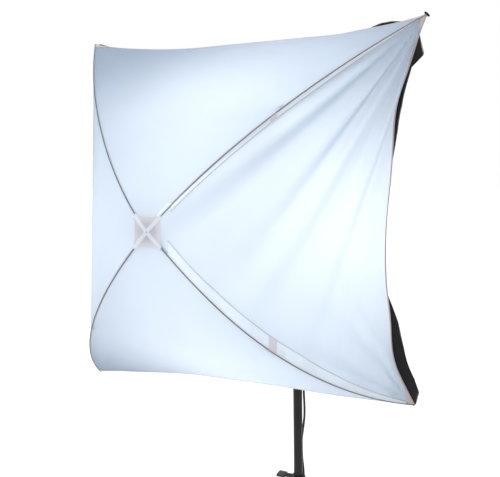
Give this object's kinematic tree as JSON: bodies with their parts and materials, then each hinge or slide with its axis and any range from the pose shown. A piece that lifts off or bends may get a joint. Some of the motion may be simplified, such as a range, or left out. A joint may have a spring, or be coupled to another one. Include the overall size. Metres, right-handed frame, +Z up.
{
  "type": "studio softbox",
  "caption": "Square umbrella-frame softbox with a translucent diffuser and black rear cover, on a lamp head, telescopic column and folding tripod.",
  "frame": {"origin": "floor level, middle of the footprint without the power lead", "axes": "+Z up, the diffuser faces -Y, +X to the right as seen from in front"},
  "size_m": [0.8062, 0.9325, 1.8068],
  "materials": {
    "black_metal": "black satin, powder coated",
    "black_plastic": "moulded, fine texture",
    "switch_plastic": "glossy",
    "frosted_glass": "frosted white",
    "bulb_plastic": "white moulded",
    "tie_plastic": "nylon",
    "lead_rubber": "smooth flexible sheath",
    "plug_plastic": "moulded",
    "steel": "plated",
    "foot_rubber": "matt",
    "fibreglass": "pultruded rod",
    "white_fabric": "thin translucent white cloth, lit from inside",
    "black_fabric": "black cloth, silver inside",
    "patch_fabric": "grey beige reinforcement"
  },
  "bodies": {
    "stand": {"column_base": "black_metal", "column_foot": "black_plastic", "column_collar": "black_plastic", "power_cord": "lead_rubber", "cord_coil": "lead_rubber", "plug": "plug_plastic"},
    "collar_knob": {"collar_knob": "black_plastic"},
    "leg_spider": {"leg_collar": "black_plastic"},
    "leg_collar_knob": {"leg_collar_knob": "black_plastic"},
    "column": {"column_top": "black_metal", "column_lead": "lead_rubber", "lead_tie_lower": "tie_plastic"},
    "yoke": {"yoke": "black_metal", "lead_tie_upper": "tie_plastic"},
    "yoke_screw": {"yoke_screw": "black_plastic"},
    "tilt_lever": {"tilt_lever": "black_plastic"},
    "head": {"head_bracket": "black_metal", "lamp_socket": "black_plastic", "cord_gland": "black_plastic", "head_lead": "lead_rubber"},
    "umbrella_screw": {"umbrella_screw": "black_plastic"},
    "switch": {"power_switch": "switch_plastic"},
    "bulb": {"bulb_base": "bulb_plastic", "bulb_glass": "frosted_glass"},
    "shaft": {"shaft": "steel", "shaft_end_cap": "lead_rubber", "crown": "black_plastic", "centre_patch": "patch_fabric"},
    "runner": {"runner": "black_plastic"},
    "latch": {"runner_latch": "steel"},
    "leg_front": {"leg_front": "black_metal", "foot_front": "foot_rubber"},
    "brace_front": {"brace_front": "black_metal"},
    "leg_right": {"leg_right": "black_metal", "foot_right": "foot_rubber"},
    "brace_right": {"brace_right": "black_metal"},
    "leg_left": {"leg_left": "black_metal", "foot_left": "foot_rubber"},
    "brace_left": {"brace_left": "black_metal"},
    "rib_top_left": {"rib_top_left": "fibreglass", "corner_pocket_top_left": "black_plastic", "diffuser_top_left": "white_fabric", "rear_cover_top_left": "black_fabric"},
    "stretcher_top_left": {"stretcher_top_left": "steel"},
    "rib_top_right": {"rib_top_right": "fibreglass", "corner_pocket_top_right": "black_plastic", "diffuser_top_right": "white_fabric", "rear_cover_top_right": "black_fabric"},
    "stretcher_top_right": {"stretcher_top_right": "steel"},
    "rib_bottom_right": {"rib_bottom_right": "fibreglass", "corner_pocket_bottom_right": "black_plastic", "diffuser_bottom_right": "white_fabric", "rear_cover_bottom_right": "black_fabric"},
    "stretcher_bottom_right": {"stretcher_bottom_right": "steel"},
    "rib_bottom_left": {"rib_bottom_left": "fibreglass", "corner_pocket_bottom_left": "black_plastic", "diffuser_bottom_left": "white_fabric", "rear_cover_bottom_left": "black_fabric"},
    "stretcher_bottom_left": {"stretcher_bottom_left": "steel"}
  },
  "joints": [
    {"name": "column_slide", "type": "slide", "parent": "stand", "child": "column", "axis": [0, 0, 1], "range_m": [-0.07, 0.3], "deforming": ["power_cord"]},
    {"name": "collar_knob_turn", "type": "hinge", "parent": "stand", "child": "collar_knob", "pos_m": [0.00914, 0.23502, 0.6285], "axis": [-1, 0, 0], "range_deg": [-180, 45]},
    {"name": "leg_fold", "type": "slide", "parent": "stand", "child": "leg_spider", "axis": [0, 0, 1], "range_m": [0, 0.15]},
    {"name": "leg_collar_knob_turn", "type": "hinge", "parent": "leg_spider", "child": "leg_collar_knob", "pos_m": [0.00914, 0.23502, 0.414], "axis": [-0.866, -0.5, 0], "range_deg": [-180, 45]},
    {"name": "leg_front_hinge", "type": "hinge", "parent": "leg_spider", "child": "leg_front", "pos_m": [0.00914, 0.20302, 0.4], "axis": [1, 0, 0], "range_deg": [0, 35.11]},
    {"name": "brace_front_hinge", "type": "hinge", "parent": "stand", "child": "brace_front", "pos_m": [0.00914, 0.20502, 0.075], "axis": [-1, 0, 0], "range_deg": [0, 38.75]},
    {"name": "leg_right_hinge", "type": "hinge", "parent": "leg_spider", "child": "leg_right", "pos_m": [0.03685, 0.25102, 0.4], "axis": [-0.5, 0.866, 0], "range_deg": [0, 35.11]},
    {"name": "brace_right_hinge", "type": "hinge", "parent": "stand", "child": "brace_right", "pos_m": [0.03512, 0.25002, 0.075], "axis": [0.5, -0.866, 0], "range_deg": [0, 38.75]},
    {"name": "leg_left_hinge", "type": "hinge", "parent": "leg_spider", "child": "leg_left", "pos_m": [-0.01858, 0.25102, 0.4], "axis": [-0.5, -0.866, 0], "range_deg": [0, 35.11]},
    {"name": "brace_left_hinge", "type": "hinge", "parent": "stand", "child": "brace_left", "pos_m": [-0.01684, 0.25002, 0.075], "axis": [0.5, 0.866, 0], "range_deg": [0, 38.75]},
    {"name": "head_pan", "type": "hinge", "parent": "column", "child": "yoke", "pos_m": [0.00914, 0.23502, 1.283], "axis": [0, 0, 1], "range_deg": [-170, 170], "deforming": ["column_lead"]},
    {"name": "yoke_screw_turn", "type": "hinge", "parent": "yoke", "child": "yoke_screw", "pos_m": [0.00914, 0.23502, 1.303], "axis": [-1, 0, 0], "range_deg": [-180, 45]},
    {"name": "head_tilt", "type": "hinge", "parent": "yoke", "child": "head", "pos_m": [0.00914, 0.23502, 1.355], "axis": [1, 0, 0], "range_deg": [-60, 25], "deforming": ["head_lead"]},
    {"name": "tilt_lever_turn", "type": "hinge", "parent": "yoke", "child": "tilt_lever", "pos_m": [0.00914, 0.23502, 1.355], "axis": [1, 0, 0], "range_deg": [-35, 40]},
    {"name": "umbrella_screw_turn", "type": "hinge", "parent": "head", "child": "umbrella_screw", "pos_m": [0.00914, 0.25502, 1.4], "axis": [1, 0, 0], "range_deg": [-180, 45]},
    {"name": "switch_rock", "type": "hinge", "parent": "head", "child": "switch", "pos_m": [0.00914, 0.29252, 1.4835], "axis": [1, 0, 0], "range_deg": [-6, 6]},
    {"name": "bulb_turn", "type": "hinge", "parent": "head", "child": "bulb", "pos_m": [0.00914, 0.17502, 1.47], "axis": [0, 1, 0], "range_deg": [-180, 180]},
    {"name": "shaft_slide", "type": "slide", "parent": "head", "child": "shaft", "axis": [0, 1, 0], "range_m": [-0.035, 0.07]},
    {"name": "umbrella_fold", "type": "slide", "parent": "shaft", "child": "runner", "axis": [0, 1, 0], "range_m": [0, 0.22]},
    {"name": "latch_press", "type": "slide", "parent": "runner", "child": "latch", "axis": [-1, 0, 0], "range_m": [0, 0.0018], "stiffness_N_per_m": 600},
    {"name": "rib_top_left_hinge", "type": "hinge", "parent": "shaft", "child": "rib_top_left", "pos_m": [-0.00006, -0.44398, 1.40919], "axis": [-0.7071, 0, -0.7071], "range_deg": [0, 32.18], "deforming": ["diffuser_top_left", "rear_cover_top_left"]},
    {"name": "stretcher_top_left_hinge", "type": "hinge", "parent": "runner", "child": "stretcher_top_left", "pos_m": [-0.00006, -0.12998, 1.40919], "axis": [-0.7071, 0, -0.7071], "range_deg": [-27.05, 0]},
    {"name": "rib_top_right_hinge", "type": "hinge", "parent": "shaft", "child": "rib_top_right", "pos_m": [0.01833, -0.44398, 1.40919], "axis": [-0.7071, 0, 0.7071], "range_deg": [0, 32.93], "deforming": ["diffuser_top_right", "rear_cover_top_right"]},
    {"name": "stretcher_top_right_hinge", "type": "hinge", "parent": "runner", "child": "stretcher_top_right", "pos_m": [0.01833, -0.12998, 1.40919], "axis": [-0.7071, 0, 0.7071], "range_deg": [-23.23, 0]},
    {"name": "rib_bottom_right_hinge", "type": "hinge", "parent": "shaft", "child": "rib_bottom_right", "pos_m": [0.01833, -0.44398, 1.39081], "axis": [0.7071, 0, 0.7071], "range_deg": [0, 33.56], "deforming": ["diffuser_bottom_right", "rear_cover_bottom_right"]},
    {"name": "stretcher_bottom_right_hinge", "type": "hinge", "parent": "runner", "child": "stretcher_bottom_right", "pos_m": [0.01833, -0.12998, 1.39081], "axis": [0.7071, 0, 0.7071], "range_deg": [-16.71, 0]},
    {"name": "rib_bottom_left_hinge", "type": "hinge", "parent": "shaft", "child": "rib_bottom_left", "pos_m": [-0.00006, -0.44398, 1.39081], "axis": [0.7071, 0, -0.7071], "range_deg": [0, 32.83], "deforming": ["diffuser_bottom_left", "rear_cover_bottom_left"]},
    {"name": "stretcher_bottom_left_hinge", "type": "hinge", "parent": "runner", "child": "stretcher_bottom_left", "pos_m": [-0.00006, -0.12998, 1.39081], "axis": [0.7071, 0, -0.7071], "range_deg": [-20.71, 0]}
  ],
  "couplings": [
    {"joint": "leg_front_hinge", "follows": "leg_fold", "rad_per_m": 4.0622},
    {"joint": "brace_front_hinge", "follows": "leg_fold", "rad_per_m": 4.4858},
    {"joint": "leg_right_hinge", "follows": "leg_fold", "rad_per_m": 4.0622},
    {"joint": "brace_right_hinge", "follows": "leg_fold", "rad_per_m": 4.4858},
    {"joint": "leg_left_hinge", "follows": "leg_fold", "rad_per_m": 4.0622},
    {"joint": "brace_left_hinge", "follows": "leg_fold", "rad_per_m": 4.4858},
    {"joint": "rib_top_left_hinge", "follows": "umbrella_fold", "rad_per_m": 2.5374},
    {"joint": "stretcher_top_left_hinge", "follows": "umbrella_fold", "rad_per_m": -2.1304},
    {"joint": "rib_top_right_hinge", "follows": "umbrella_fold", "rad_per_m": 2.5967},
    {"joint": "stretcher_top_right_hinge", "follows": "umbrella_fold", "rad_per_m": -1.827},
    {"joint": "rib_bottom_right_hinge", "follows": "umbrella_fold", "rad_per_m": 2.6465},
    {"joint": "stretcher_bottom_right_hinge", "follows": "umbrella_fold", "rad_per_m": -1.3101},
    {"joint": "rib_bottom_left_hinge", "follows": "umbrella_fold", "rad_per_m": 2.5885},
    {"joint": "stretcher_bottom_left_hinge", "follows": "umbrella_fold", "rad_per_m": -1.627}
  ]
}
